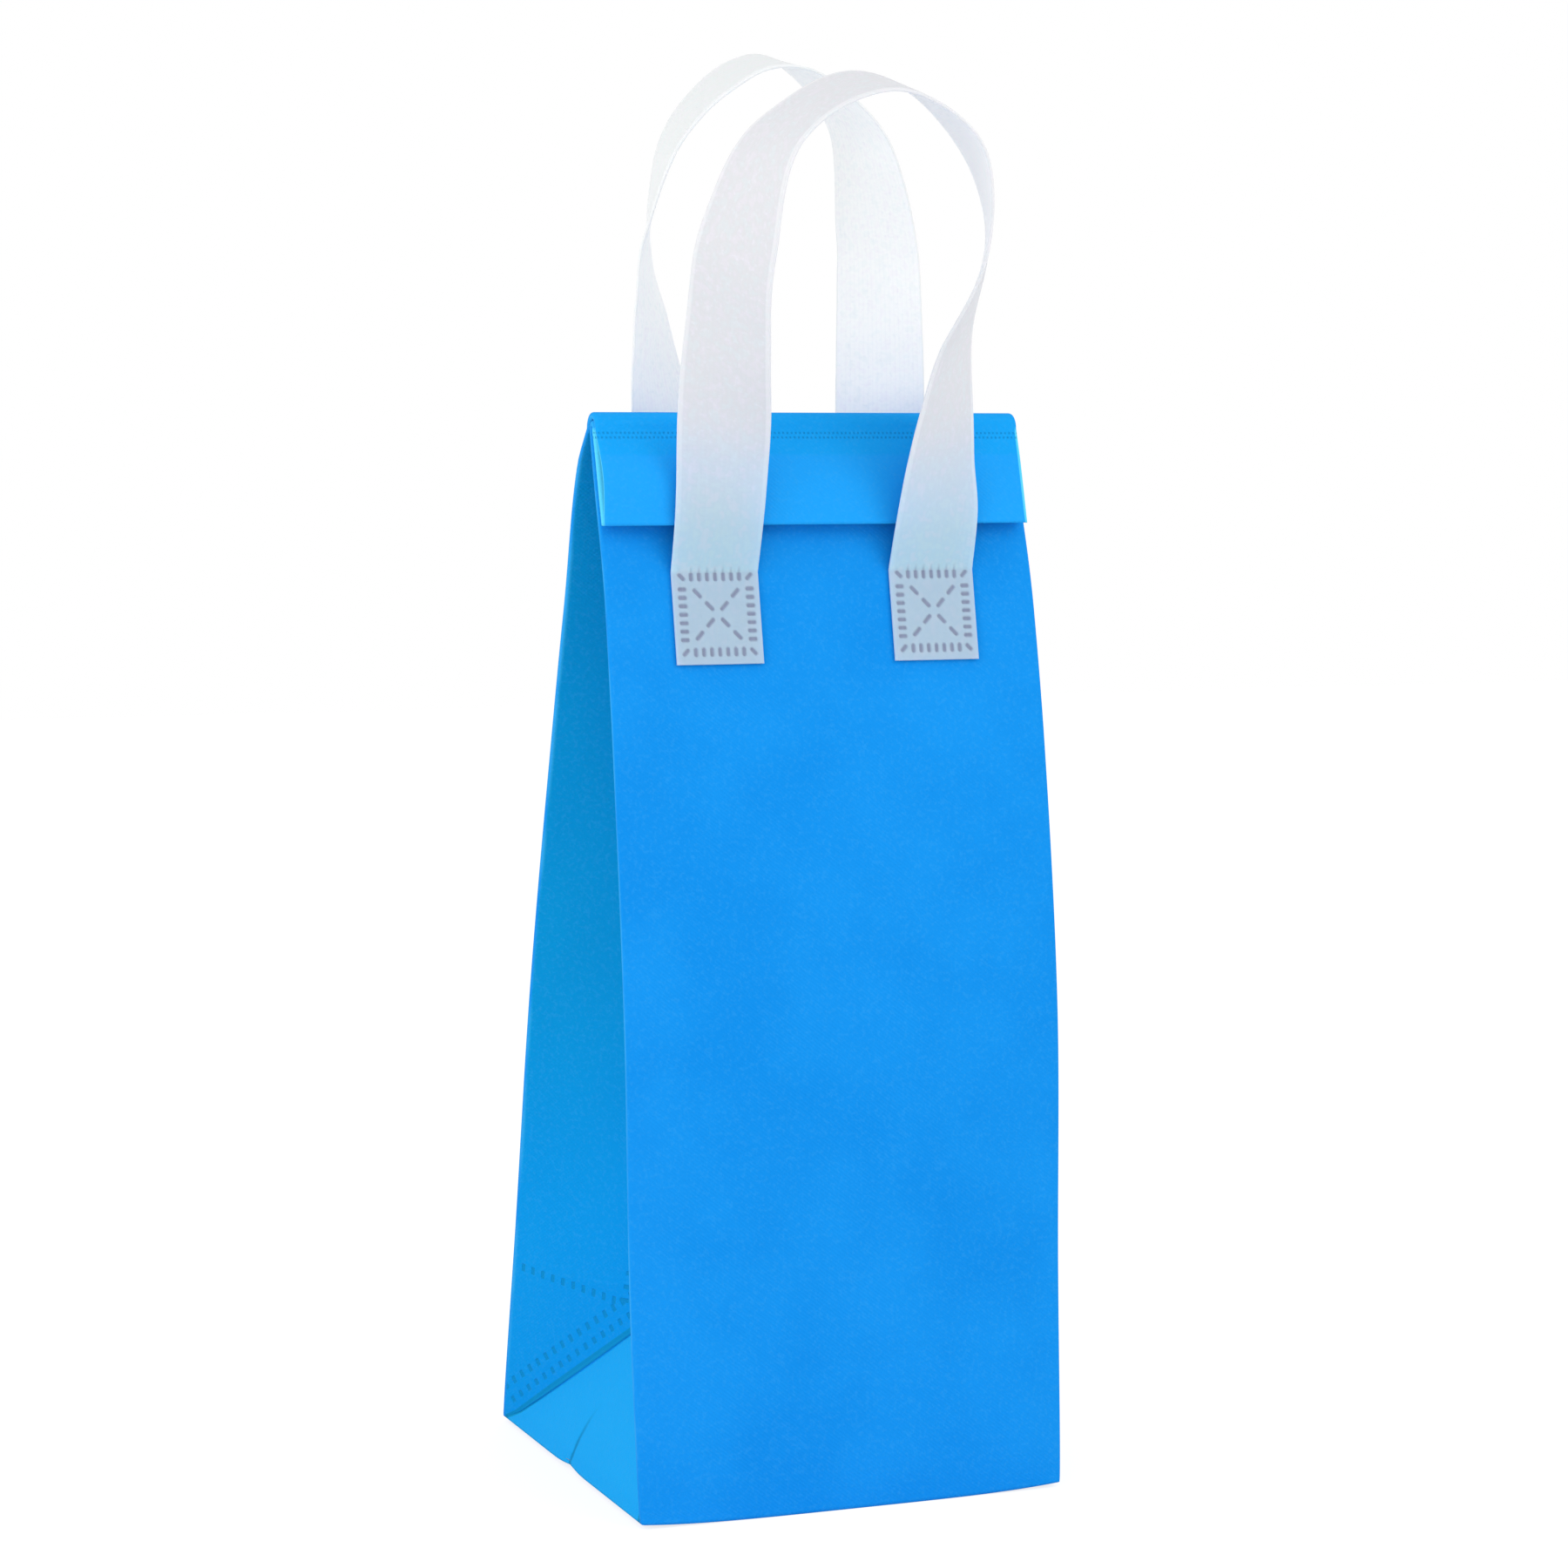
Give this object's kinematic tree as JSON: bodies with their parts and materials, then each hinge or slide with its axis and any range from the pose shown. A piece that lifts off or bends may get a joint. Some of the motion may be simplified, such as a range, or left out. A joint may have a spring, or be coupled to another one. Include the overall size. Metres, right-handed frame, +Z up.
{
  "type": "insulated bag",
  "caption": "Tall narrow insulated carrier bag, standing, with folded side gussets, its mouth folded over forward, and webbing loop handles at front and back.",
  "frame": {"origin": "middle of the flat base, on the surface that the bag stands on", "axes": "+Z up along the bag's height, +X to the right across the front panel, +Y from the front panel to the back panel"},
  "size_m": [0.1238, 0.156, 0.3885],
  "materials": {
    "blue_laminate": "matte laminated non-woven cloth",
    "white_webbing": "matte woven flat webbing"
  },
  "bodies": {
    "root": {"bag_body": "blue_laminate", "front_handle": "white_webbing", "rear_handle": "white_webbing"}
  },
  "joints": []
}
